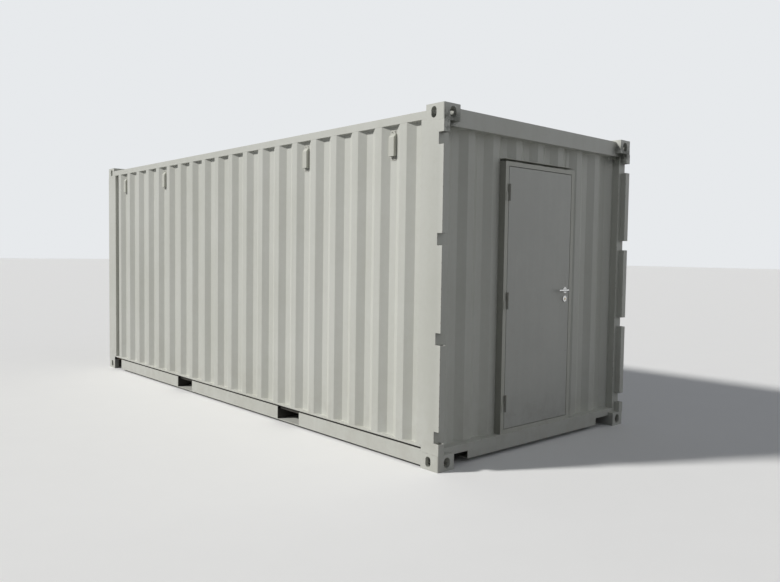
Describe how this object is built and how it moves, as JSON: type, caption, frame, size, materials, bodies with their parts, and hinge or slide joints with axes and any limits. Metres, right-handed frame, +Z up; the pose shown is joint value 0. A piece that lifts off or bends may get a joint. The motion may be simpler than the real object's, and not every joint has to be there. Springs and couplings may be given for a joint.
{
  "type": "shipping container cabin",
  "caption": "Steel freight container made into a cabin, with corrugated walls, corner castings, fork pockets, side vents and a hinged personnel door in one end.",
  "frame": {"origin": "middle of the footprint on the ground", "axes": "+Z up, Y along the length with the door end at -Y, X across the width"},
  "size_m": [2.438, 6.058, 2.591],
  "materials": {
    "paint_shell": "satin",
    "paint_frame": "satin",
    "threshold_steel": "worn satin",
    "plywood": "worn",
    "paint_underframe": "satin",
    "hinge_steel": "satin",
    "paint_leaf": "semi-gloss",
    "handle_steel": "satin"
  },
  "bodies": {
    "shell": {"casting_bottom_door_left": "paint_shell", "casting_bottom_door_right": "paint_shell", "casting_bottom_blank_left": "paint_shell", "casting_bottom_blank_right": "paint_shell", "casting_top_door_left": "paint_shell", "casting_top_door_right": "paint_shell", "casting_top_blank_left": "paint_shell", "casting_top_blank_right": "paint_shell", "door_post_left": "paint_shell", "door_post_right": "paint_shell", "blank_post_left": "paint_shell", "blank_post_right": "paint_shell", "top_side_rails": "paint_shell", "bottom_rail_left": "paint_shell", "bottom_rail_right": "paint_shell", "bottom_web_left": "paint_shell", "bottom_web_right": "paint_shell", "door_header": "paint_shell", "door_sill": "paint_shell", "blank_top_rail": "paint_shell", "blank_bottom_rail": "paint_shell", "side_wall_left": "paint_shell", "side_wall_right": "paint_shell", "blank_end_wall": "paint_shell", "end_wall_left": "paint_shell", "end_wall_right": "paint_shell", "end_wall_over_door": "paint_shell", "roof_panel": "paint_shell", "side_vents": "paint_shell", "door_jamb_left": "paint_frame", "door_jamb_right": "paint_frame", "door_head": "paint_frame", "drip_strip": "paint_frame", "door_threshold": "threshold_steel", "floor_boards": "plywood", "cross_members": "paint_underframe", "fork_pocket_door_end": "paint_underframe", "fork_pocket_blank_end": "paint_underframe", "hinges_frame_side": "hinge_steel"},
    "door": {"hinges_leaf_side": "hinge_steel", "door_leaf": "paint_leaf", "lock_furniture": "handle_steel"},
    "lever": {"lever_outside": "handle_steel", "lever_inside": "handle_steel"}
  },
  "joints": [
    {"name": "door_hinge", "type": "hinge", "parent": "shell", "child": "door", "pos_m": [-0.438, -2.986, 1.2], "axis": [0, 0, -1], "range_deg": [0, 165]},
    {"name": "lever_turn", "type": "hinge", "parent": "door", "child": "lever", "pos_m": [0.324, -2.976, 1.256], "axis": [0, -1, 0], "range_deg": [0, 40], "stiffness_Nm_per_rad": 1.5, "springref_deg": -22.92}
  ]
}
